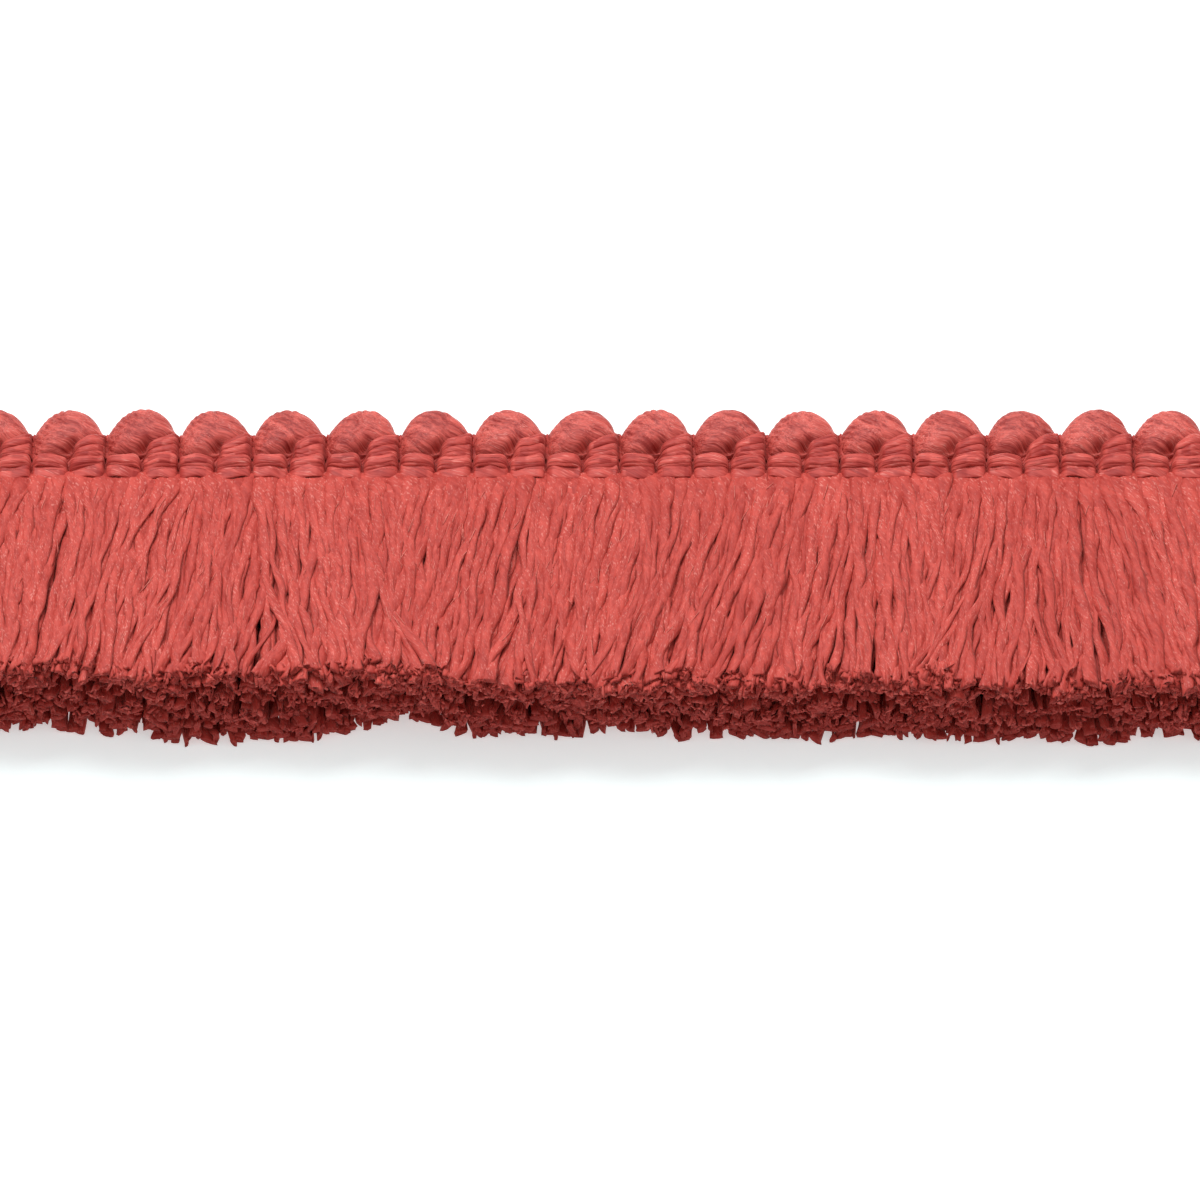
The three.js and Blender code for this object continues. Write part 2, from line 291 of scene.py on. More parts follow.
# A lobe is a cushion inside LOBE_EDGE, closed above and below. It is eased flatter towards EASE_WAY, and
# folds down at FOLD_PLACE, which is given across the trim and up the view, as its filaments' lay is.
LOBE_EDGE = np.array([
    (3.6, 34.9), (3.35, 35.35), (3.08, 35.85), (2.8, 36.55), (2.3, 37.35), (1.6, 38), (0.8, 38.4),
    (0, 38.48), (-0.9, 38.33), (-1.7, 37.85), (-2.45, 37.1), (-3, 36.3), (-3.33, 35.65), (-3.45, 35),
    (-3.42, 34), (-3.2, 33), (-2.2, 32.6), (-0.6, 32.7), (1.1, 33.2), (2.5, 34.1),
])
LOBE_MIDDLE = np.array([0, 35.7])
LOBE_STEPS = 18
LOBE_SIDES = 100
LOBE_EQUATOR = 2.6
LOBE_RISE = 1.75
LOBE_DROP = 1.5
LOBE_FULL = 0.75
LOBE_CLOSED = 0.97
LOBE_FREE = 2.9
LOBE_UNEVEN = {"crest": 0.35, "rise": 0.15, "swell": 0.05}
EASE = 0.5
EASE_WAY = (-0.6, -0.8)
EASE_REACH = 2.2
FOLD_PLACE = (0.25, 28.15)
FOLD_SLOPE = (0.74, 0.67)
FOLD_WIDTH = 0.4
FOLD_LENGTH = 0.72
FOLD_DEPTH = 0.9
LAY_WAY = (0.86, 0.5)
LAY_SLANT = 0.6
LAY_BEND = 0.05
LAY_WANDER = 0.16
LAY_WAVER = 0.07
PLY = 0.62
PLY_RELIEF = 0.15
PLY_TONES = 997
SCALLOP_COLOUR = {"deep": (0.29, 0.017, 0.013), "light": (0.67, 0.108, 0.085)}


def through(stations, steps):
    """A smooth run of values through evenly numbered stations, with some steps between each two."""
    padded = np.concatenate([2 * stations[:1] - stations[1:2], stations, 2 * stations[-1:] - stations[-2:-1]])
    share = (np.arange(steps) / steps)[None, :, None]
    before, start, end, after = (padded[i:len(padded) - 3 + i, None] for i in range(4))
    bend = (end - before) + share * (2 * before - 5 * start + 4 * end - after
                                     + share * (3 * (start - end) + after - before))
    run = start + share / 2 * bend
    return np.concatenate([run.reshape(-1, stations.shape[1]), stations[-1:]])


chance = np.random.default_rng(11)
edge = through(np.concatenate([LOBE_EDGE, LOBE_EDGE[:1]]), LOBE_SIDES // len(LOBE_EDGE))[:-1]
climb = np.linspace(-1, 1, 2 * LOBE_STEPS + 1) * LOBE_CLOSED * np.pi / 2
spread = np.cos(climb)[None, :, None] ** LOBE_FULL
eased = np.clip((edge - LOBE_MIDDLE) @ EASE_WAY / EASE_REACH, 0, 1)
lift = np.sign(climb)[:, None] * np.abs(np.sin(climb))[:, None] ** (LOBE_FULL + EASE * eased)
lobe = np.arange(SCALLOPS)[:, None, None]
uneven = np.array(list(LOBE_UNEVEN.values())).reshape(3, 1, 1, 1)
crest, rise, swell = chance.uniform(-1, 1, (3, SCALLOPS, 1, 1)) * uneven
local = (edge - LOBE_MIDDLE)[None, None] * spread[..., None]
free = np.clip(local[..., 1] / LOBE_FREE, 0, 1)
lobe_x = LOBE_MIDDLE[0] + local[..., 0] + crest * free
lobe_y = LOBE_MIDDLE[1] + local[..., 1] * (1 + rise * 0.3 * free)
lobe_z = LOBE_EQUATOR + np.where(climb > 0, LOBE_RISE, LOBE_DROP)[:, None] * lift * (1 + swell)
lobe_x, lobe_y, lobe_z = np.broadcast_arrays(lobe_x, lobe_y, lobe_z)
seen_up = lobe_y * math.sin(VIEW_ELEVATION) + lobe_z * math.cos(VIEW_ELEVATION)
seen_deep = lobe_z * math.sin(VIEW_ELEVATION) - lobe_y * math.cos(VIEW_ELEVATION)
from_fold = (lobe_x - FOLD_PLACE[0], seen_up - FOLD_PLACE[1])
across_fold = from_fold[0] * FOLD_SLOPE[0] - from_fold[1] * FOLD_SLOPE[1]
down_fold = from_fold[0] * FOLD_SLOPE[1] + from_fold[1] * FOLD_SLOPE[0]
fold = FOLD_DEPTH * np.exp(-(across_fold / FOLD_WIDTH) ** 2 - (down_fold / FOLD_LENGTH) ** 2)
phase = chance.uniform(0, 2 * np.pi, (4, SCALLOPS, 1, 1))
along_lay = lobe_x * LAY_WAY[0] - seen_up * LAY_WAY[1]
across_lay = seen_up + LAY_SLANT * lobe_x + LAY_BEND * lobe_x ** 2
across_lay = (
    across_lay + LAY_WANDER * np.sin(along_lay * 1.3 + phase[0])
    + LAY_WAVER * np.sin(along_lay * 3.1 + across_lay + phase[1]))
ply = across_lay / PLY + phase[2]
relief = PLY_RELIEF * (np.abs(np.sin(np.pi * ply)) - 0.7) * (0.6 + 0.4 * np.sin(along_lay * 1.1 + phase[3]))
lobe_z = lobe_z + (relief - fold) * np.clip(np.sin(climb) * 2, 0, 1)[None, :, None]
lobe_y = lobe_y + 0.5 * relief * free
lobe_rings = np.stack([lobe_x - TRIM_LENGTH / 2 + (lobe + 0.5) * SCALLOP_PITCH, lobe_y, lobe_z], axis=-1)
lobe_lay = np.stack([across_lay, seen_deep + lobe * 9, along_lay * 0.05], axis=-1)
lobe_tone = chance.random(PLY_TONES)[(np.floor(ply) + lobe * 31).astype(int) % PLY_TONES]
scallop_finish = yarn_finish(
    "scallop_viscose", SCALLOP_COLOUR, filament=0.16, gloss=0.4, flecks=0.35, grain=1.7)
spun("scallop_edge", lobe_rings, lobe_lay, lobe_tone, 0, scallop_finish, "scallop_cord")


# The skirt: 2508 cut yarns of soft coral viscose, in four layers and a looser face. Each yarn is held at
# its root under the heading and fans out to the cut edge, where the shears left it blunt and frayed.
SKIRT_LENGTH = 29
ROOT_DEPTH = 5.3
ROOT_SINK = 1.1
BUNDLE_PITCH = SCALLOP_PITCH / 2

# The brush along the trim: its height, where its upper and lower edges are cut, and how its face drifts.
SHAPE_ALONG = [
    {"x": -63, "height": 9.3, "upper": 1.2, "lower": 0.8, "drift": 0},
    {"x": -57, "height": 9.4, "upper": 1.9, "lower": 1.4, "drift": -0.3},
    {"x": -52, "height": 9.4, "upper": 2.2, "lower": 1.6, "drift": -2.3},
    {"x": -46, "height": 9.3, "upper": 1.3, "lower": 0.7, "drift": -0.6},
    {"x": -38, "height": 9.2, "upper": 1.1, "lower": 0.3, "drift": -1.5},
    {"x": -31, "height": 9.3, "upper": 1.3, "lower": 0.2, "drift": 0.3},
    {"x": -25, "height": 9.5, "upper": 1.6, "lower": 1.5, "drift": 1.2},
    {"x": -18, "height": 9.2, "upper": 1.0, "lower": 2.9, "drift": -1.6},
    {"x": -11, "height": 9.0, "upper": 0.7, "lower": 0.4, "drift": -3.4},
    {"x": -3, "height": 8.6, "upper": 0.3, "lower": 1.4, "drift": -2.2},
    {"x": 4, "height": 8.8, "upper": 0.5, "lower": 1.2, "drift": -2.6},
    {"x": 13, "height": 9.0, "upper": 0.9, "lower": 0.4, "drift": -2.8},
    {"x": 21, "height": 8.6, "upper": 0.5, "lower": 1.0, "drift": -2.4},
    {"x": 28, "height": 8.7, "upper": 0.6, "lower": 0.5, "drift": -0.2},
    {"x": 35, "height": 8.7, "upper": 0.6, "lower": 0.2, "drift": -1.8},
    {"x": 41, "height": 8.5, "upper": 0.4, "lower": 0.6, "drift": 0.2},
    {"x": 48, "height": 8.7, "upper": 0.6, "lower": 0.2, "drift": 3},
    {"x": 55, "height": 9.0, "upper": 1.3, "lower": 0.4, "drift": 2.8},
    {"x": 63, "height": 9.2, "upper": 1.0, "lower": 0.6, "drift": 0},
]

# The layers, lowest first. A layer's roots are at the height root, and its ends fill the brush's height from
# foot to crown. Swell lifts its yarns where they leave the heading. Stray, lift, ragged, trimmed and fray
# loosen the yarns and their cut ends. The last value is the least share of the darker cut colour that an end
# shows; it is larger in the lower layers, as painted shade beneath the upper ones.
SKIRT_LAYERS = [
    {"piece": "brush_bottom", "node": "skirt_bottom", "root": 0.06, "foot": 0, "crown": 0.25, "swell": 0,
     "rows": 4, "steps": 7, "stray": 0.5, "lift": 0.1, "ragged": 0.08, "trimmed": 0.3,
     "fray": 0.3, "cut_and_shade": 0.65},
    {"piece": "brush_lower", "node": "skirt_lower", "root": 0.94, "foot": 0.25, "crown": 0.5, "swell": 0.1,
     "rows": 4, "steps": 7, "stray": 0.5, "lift": 0.1, "ragged": 0.2, "trimmed": 0.45,
     "fray": 0.6, "cut_and_shade": 0.6},
    {"piece": "brush_upper", "node": "skirt_upper", "root": 1.82, "foot": 0.5, "crown": 0.82, "swell": 0.4,
     "rows": 4, "steps": 8, "stray": 0.5, "lift": 0.15, "ragged": 0.3, "trimmed": 0.6,
     "fray": 0.9, "cut_and_shade": 0.45},
    {"piece": "brush_top", "node": "skirt_top", "root": 2.6, "foot": 0.82, "crown": 0.95, "swell": 0.7,
     "rows": 4, "steps": 15, "stray": 0.5, "lift": 0.1, "ragged": 0.4, "trimmed": 0.6,
     "fray": 1, "cut_and_shade": 0.3},
    {"piece": "brush_face", "node": None, "root": 2.75, "foot": 0.95, "crown": 0.98, "swell": 0.75,
     "rows": 3, "steps": 28, "stray": 2.5, "lift": 0.25, "ragged": 0.55, "trimmed": 0.5,
     "fray": 1, "cut_and_shade": 0.2},
]
YARNS_ACROSS = 132
YARN_SIDES = 7
YARN_RADIUS = 0.48
ROOT_RADIUS = 0.9
FLATTENED = 0.46
ROOT_FLATTENED = 0.34
ROOT_JITTER = 0.45
CALM_ENDS = 5
FAN_POWER = 1.35
LOCK_WIDTH = (1.4, 4)
LOCK_ARCH = 0.22
LOCK_CURL = 0.35
LOCK_GATHER = (0.05, 0.14)
LEAN_LIMIT = 1.8
OWN_LEAN = 0.4
CUT_WAVE = 0.45
CUT_WAVE_SPAN = 1.9
BUNDLE_PINCH = 0.16
BUNDLE_REACH = 1.2
YARN_WANDER = 0.3
WANDER_SPAN = (1.3, 3)
YARN_BOB = 0.2
BOB_SPAN = (1.2, 3)
YARN_GIRTH = (-0.35, 0.3)
YARN_SLUB = 0.2
SLUB_SPAN = (0.6, 1.4)
YARN_ROLL = 0.35
ROLL_SPAN = (2, 6)
ROOT_RISE = 0.4
TIP_LENGTH = 2
TIP_BEND = 0.24
TIP_TURN = 0.7
TIP_SPLAY = 0.5
UNEVEN_SKIN = 0.12
SHEAR_SLANT = 0.4
END_TATTER = 0.13
HOLLOW_WIDTH = 0.45
HOLLOW_TATTER = 0.25
LAY_SPREAD = 50
LOWEST = 0.01
SKIRT_COLOUR = {"deep": (0.37, 0.028, 0.02), "light": (0.585, 0.074, 0.055)}
# The cut ends' colour, darker than the yarn: partly the blunt ends' own, partly painted shade on the cut
# face.
CUT_AND_SHADE_COLOUR = (0.37, 0.032, 0.025)
NICKS = np.array([-54, -49.4, -44.5, -20.2, -17.7, -15, 3.4, 10.3, 31, 52])
NICK_HALF = 0.8
NICK_DEPTH = 1.6


def along_trim(column, x):
    """One column of the skirt's shape at places along the trim, eased from row to row."""
    places = np.array([row["x"] for row in SHAPE_ALONG], float)
    values = np.array([row[column] for row in SHAPE_ALONG], float)
    after = np.clip(np.searchsorted(places, x), 1, len(places) - 1)
    share = np.clip((x - places[after - 1]) / (places[after] - places[after - 1]), 0, 1)
    eased = share * share * (3 - 2 * share)
    return values[after - 1] + (values[after] - values[after - 1]) * eased


def yarn_ways(layer, chance):
    """The middle lines of one layer's yarns, root to cut end, with their thickness, lie and tone.
    Neighbouring yarns lie in locks that lean, lift and are cut off together."""
    count = layer["rows"] * YARNS_ACROSS
    row = np.repeat(np.arange(layer["rows"]), YARNS_ACROSS)
    column = np.tile(np.arange(YARNS_ACROSS), layer["rows"])
    pitch = TRIM_LENGTH / YARNS_ACROSS
    inside = TRIM_LENGTH / 2 - YARN_RADIUS
    stagger = 0.5 * (row % 2 - 0.5)
    jitter = chance.uniform(-ROOT_JITTER, ROOT_JITTER, count)
    root_x = -TRIM_LENGTH / 2 + pitch * (column + 0.5 + stagger + jitter)
    root_x = np.clip(root_x, -inside, inside)
    share = np.clip((row + 0.5 + chance.uniform(-ROOT_JITTER, ROOT_JITTER, count)) / layer["rows"], 0, 1)
    level = layer["foot"] + (layer["crown"] - layer["foot"]) * share
    calm = np.clip((TRIM_LENGTH / 2 - np.abs(root_x)) / CALM_ENDS, 0, 1)

    edges = np.cumsum(chance.uniform(*LOCK_WIDTH, 2 * count))
    place = root_x + TRIM_LENGTH / 2 + row * 2 * TRIM_LENGTH
    lock = np.searchsorted(edges, place)
    width = edges[lock] - edges[lock - 1] * (lock > 0)
    off_centre = place - edges[lock] + width / 2
    lock_lean, curl = chance.normal(0, 1, (2, len(edges))).clip(-LEAN_LIMIT, LEAN_LIMIT)[:, lock]
    lock_lift, lock_cut, lock_tone, gather, lateness = chance.random((5, len(edges)))[:, lock]

    cut_y = along_trim("lower", root_x) * (1 - level) + along_trim("upper", root_x) * level
    cut_y += (lock_cut - 0.5) * layer["trimmed"] * 2 + layer["ragged"] * chance.uniform(-1, 1, count)
    cut_y += CUT_WAVE * np.sin(root_x / CUT_WAVE_SPAN + 9 * level)
    nicked = np.abs(root_x[:, None] - NICKS).min(axis=1) < NICK_HALF
    cut_y += NICK_DEPTH * nicked * np.clip(1 - level / 0.4, 0, 1)
    way = np.append(np.linspace(0, 0.96, layer["steps"] - 1), 1)
    root_y = SKIRT_LENGTH + ROOT_DEPTH * (1 - 0.1 * share)
    y = root_y[:, None] + (cut_y - root_y)[:, None] * way
    out = np.clip(1 - y / SKIRT_LENGTH, 0, 1)

    lean = along_trim("drift", root_x) * (0.2 + 1.4 * level) + calm * layer["stray"] * (
        lock_lean + OWN_LEAN * chance.normal(0, 1, count))
    phase = chance.uniform(0, 2 * np.pi, (4, count, 1))
    x = root_x[:, None] + lean[:, None] * out ** (1 + 0.7 * lateness)[:, None]
    x += (calm * curl * LOCK_CURL * layer["stray"])[:, None] * np.sin(np.pi * out)
    wander = np.sin(y / chance.uniform(*WANDER_SPAN, (count, 1)) + phase[0])
    x += calm[:, None] * YARN_WANDER * wander * out ** 0.45
    x -= (off_centre * (LOCK_GATHER[0] + LOCK_GATHER[1] * gather))[:, None] * out ** 1.2
    bundle = (np.floor(root_x / BUNDLE_PITCH) + 0.5) * BUNDLE_PITCH
    near_root = np.exp(-((y - SKIRT_LENGTH - 0.2) / BUNDLE_REACH) ** 2)
    x += (bundle - root_x)[:, None] * BUNDLE_PINCH * near_root

    thick = ROOT_RADIUS + (YARN_RADIUS - ROOT_RADIUS) * np.clip(out * 6, 0, 1)
    x = np.clip(x, thick - TRIM_LENGTH / 2, TRIM_LENGTH / 2 - thick)
    loose = np.clip(out * 4, 0, 1)
    thick *= 1 + loose * chance.uniform(*YARN_GIRTH, (count, 1))
    thick *= 1 + YARN_SLUB * np.sin(y / chance.uniform(*SLUB_SPAN, (count, 1)) + phase[2])
    roll = YARN_ROLL * loose * np.sin(y / chance.uniform(*ROLL_SPAN, (count, 1)) + phase[3])
    fan = 1 - (1 - out) ** FAN_POWER
    root_z = layer["root"] + ROOT_RISE * share[:, None]
    z = root_z + (level[:, None] * along_trim("height", root_x)[:, None] - root_z) * fan
    z += chance.uniform(-0.1, 0.1, (count, 1)) * (1 - out)
    z -= ROOT_SINK * np.clip((y - SKIRT_LENGTH - 1.2) / 1.5, 0, 1)
    z += layer["swell"] * np.clip((SKIRT_LENGTH + 1.8 - y) / 1.3, 0, 1) * (1 - out) ** 3
    raised = layer["lift"] * (2 * lock_lift - 1) + LOCK_ARCH * (0.4 - (off_centre / width * 2) ** 2)
    bob = YARN_BOB * np.sin(y / chance.uniform(*BOB_SPAN, (count, 1)) + phase[1])
    z += (raised[:, None] + bob) * out ** 0.5

    tip = np.clip((cut_y[:, None] + TIP_LENGTH - y) / TIP_LENGTH, 0, 1)
    bent = chance.normal(0, TIP_BEND, (2, count, 1)) * tip
    x += bent[0]
    z = np.maximum(z + bent[1], np.minimum(thick, YARN_RADIUS) * 0.9)
    patch = 0.5 + 0.5 * np.sin(root_x / 7 + 2 * np.sin(root_x / 13) + row)
    tone = 0.4 * lock_tone + 0.4 * chance.random(count) + 0.2 * patch
    return x, y, z, thick, roll, tip, tone


def yarn_skin(x, y, z, thick, roll, tip, fray, chance):
    """Rings round the yarns' middle lines. Each ends in a flattened flake, which the shears left slanted,
    frayed and hollow. The last value says how much of each ring is cut face."""
    count, steps = x.shape
    angle, lay = twisted(YARN_SIDES, y / 9, 0.3, 1)
    lay = lay + chance.uniform(-LAY_SPREAD, LAY_SPREAD, (count, 1, 1, 3))
    lay[..., 2] += y[..., None] * 0.1
    uneven = 1 + chance.uniform(-UNEVEN_SKIN, UNEVEN_SKIN, (count, steps, YARN_SIDES))
    splay = chance.uniform(0, TIP_SPLAY, (count, 1)) * tip
    flat = ROOT_FLATTENED + (FLATTENED - ROOT_FLATTENED) * np.clip((1 - y / SKIRT_LENGTH) * 6, 0, 1)
    across = (thick * (1 + splay))[..., None] * uneven * np.cos(angle)
    upright = (thick * flat * (1 - splay * 0.55))[..., None] * uneven * np.sin(angle)
    turned = (roll + chance.normal(0, TIP_TURN, (count, 1)) * tip)[..., None]
    rings = np.stack(np.broadcast_arrays(
        x[..., None] + across * np.cos(turned) - upright * np.sin(turned),
        y[..., None],
        z[..., None] + across * np.sin(turned) + upright * np.cos(turned)), axis=-1)

    end = rings[:, -1:]
    middle = end.mean(axis=2, keepdims=True)
    slant = chance.normal(0, SHEAR_SLANT * fray, (2, count, 1, 1))
    tilt = slant[0] * (end - middle)[..., 0] + slant[1] * (end - middle)[..., 2]
    frayed = middle + (end - middle) * chance.uniform(0.8, 1.15, (count, 1, YARN_SIDES, 1))
    frayed[..., 1] += tilt - 0.25 - fray * chance.uniform(-END_TATTER, END_TATTER, (count, 1, YARN_SIDES))
    hollow = middle + (end - middle) * HOLLOW_WIDTH
    tatter = fray * chance.uniform(-HOLLOW_TATTER, HOLLOW_TATTER, (count, 1, YARN_SIDES))
    hollow[..., 1] += 0.5 * tilt - 0.05 - tatter
    rings = np.concatenate([rings, frayed, hollow], axis=1)
    rings[..., 2] = np.maximum(rings[..., 2], LOWEST)
    lay = np.concatenate([lay, lay[:, -1:], lay[:, -1:]], axis=1)
    cut = np.zeros((count, steps + 2, 1))
    cut[:, -3:] = np.array([0.25, 0.8, 1])[:, None]
    return rings, lay, cut


skirt_finish = yarn_finish(
    "skirt_viscose", SKIRT_COLOUR, filament=0.14, gloss=0.5, flecks=0.35, grain=1.6, cut_and_shade_colour=CUT_AND_SHADE_COLOUR)
yarn_ends = []
for number, layer in enumerate(SKIRT_LAYERS):
    chance = np.random.default_rng(40 + number)
    x, y, z, thick, roll, tip, tone = yarn_ways(layer, chance)
    rings, lay, cut = yarn_skin(x, y, z, thick, roll, tip, layer["fray"], chance)
    # Painted shade: the lower layers' ends take more of the darker cut colour than the upper ones'.
    cut *= chance.uniform(layer["cut_and_shade"], 1, (len(x), 1, 1))
    yarn_ends.append(np.stack([x[:, -1], y[:, -1], z[:, -1], np.full(len(x), layer["cut_and_shade"])], axis=-1))
    spun(layer["piece"], rings, lay, tone[:, None, None], cut, skirt_finish, layer["node"])


# The frayed ends: short crumbs of the same viscose filament that stand out of the cut face, wherever the
# shears crushed a yarn's end and its filaments came apart.
CRUMBS = 3200
CRUMB_SIDES = 4
CRUMB_LENGTH = (0.2, 0.5)
CRUMB_WIDTH = (0.16, 0.36)
CRUMB_THIN = 0.55
CRUMB_STRAY = 0.5
CRUMB_SCATTER = 0.25
CRUMB_KINK = 0.06
CRUMB_STEPS = np.array([-1, 0, 0.6, 0.9])
CRUMB_GIRTH = np.array([0.6, 1, 0.95, 0.5])

chance = np.random.default_rng(55)
carrier = chance.choice(np.concatenate(yarn_ends[1:]), CRUMBS)
pointed = np.stack([
    chance.normal(0, CRUMB_STRAY, CRUMBS), -np.ones(CRUMBS), chance.normal(0, CRUMB_STRAY, CRUMBS)], axis=-1)
middle = carrier[:, None, :3] + chance.normal(0, CRUMB_SCATTER, (CRUMBS, 1, 3)) * (1, 0.6, 1)
middle = middle + (pointed * chance.uniform(*CRUMB_LENGTH, (CRUMBS, 1)))[:, None] * CRUMB_STEPS[:, None]
middle += chance.normal(0, CRUMB_KINK, middle.shape)
turn = chance.uniform(0, np.pi, (CRUMBS, 1, 1))
angle = np.arange(CRUMB_SIDES) / CRUMB_SIDES * 2 * np.pi
half = chance.uniform(*CRUMB_WIDTH, (CRUMBS, 1, 1)) * CRUMB_GIRTH[:, None]
broad_side, thin_side = half * np.cos(angle), half * CRUMB_THIN * np.sin(angle)
rings = np.repeat(middle[:, :, None], CRUMB_SIDES, axis=2)
rings[..., 0] += broad_side * np.cos(turn) - thin_side * np.sin(turn)
rings[..., 2] += broad_side * np.sin(turn) + thin_side * np.cos(turn)
rings[..., 2] = np.maximum(rings[..., 2], LOWEST)
# Painted shade: crumbs from the lower layers take more of the darker cut colour, those near the upper edge
# less.
cut_and_shade = chance.uniform(carrier[:, 3] - 0.3, 0.2 + 0.8 * carrier[:, 3]).clip(0, 1)[:, None, None]
crumb_tone = chance.random((CRUMBS, 1, 1))
spun("frayed_ends", rings, rings * (1, 0.2, 1), crumb_tone, cut_and_shade, skirt_finish, None)


# Loose fibres on the skirt's face, whose yarns are the last that were laid: short ends of viscose filament
# that have worked out of the yarns and lie on them, a little askew. They catch the light as pale flecks.
FIBRES = 800
FIBRE_STEPS = 6
FIBRE_SIDES = 3
FIBRE_RADIUS = 0.04
FIBRE_SPAN = (0.02, 0.07)
FIBRE_STRAY = 0.25
FIBRE_OFFSET = 0.15
FIBRE_LIFT = 0.08
FIBRE_PLACES = (0.16, 0.86)
FIBRE_COLOUR = {"deep": (0.64, 0.11, 0.085), "light": (0.82, 0.24, 0.19)}

chance = np.random.default_rng(60)
carrier = chance.integers(0, len(x), FIBRES)[:, None]
first = chance.uniform(*FIBRE_PLACES, (FIBRES, 1))
run = np.linspace(0, 1, FIBRE_STEPS)
place = (first + chance.uniform(*FIBRE_SPAN, (FIBRES, 1)) * run) * (x.shape[1] - 1)
before = place.astype(int)
share = place - before
middle = np.stack([
    way[carrier, before] * (1 - share) + way[carrier, before + 1] * share
    for way in (x, y, z + thick * FLATTENED)], axis=-1)
aside = chance.normal(0, FIBRE_STRAY, (FIBRES, 1)) * run
middle[..., 0] += aside + chance.normal(0, FIBRE_OFFSET, (FIBRES, 1))
middle[..., 2] += chance.uniform(0, FIBRE_LIFT, (FIBRES, 1)) * np.sin(np.pi * run)
turn = np.arange(FIBRE_SIDES) / FIBRE_SIDES * 2 * np.pi
around = np.stack([np.cos(turn), 0 * turn, np.sin(turn)], axis=-1) * FIBRE_RADIUS
rings = middle[:, :, None] + around * chance.uniform(0.6, 1.2, (FIBRES, 1, 1, 1))
fibre_finish = yarn_finish("loose_viscose", FIBRE_COLOUR, filament=0.14, gloss=0.4)
spun("loose_fibres", rings, rings, chance.random((FIBRES, 1, 1)), 0, fibre_finish, None)


# The binding warps on the heading's face: three rows of coral yarn, each a few strands side by side, that
# swell over every weft bundle, two to a scallop, and dip between them. The upper row goes under each
# scallop's left half, and rises beside its right half.

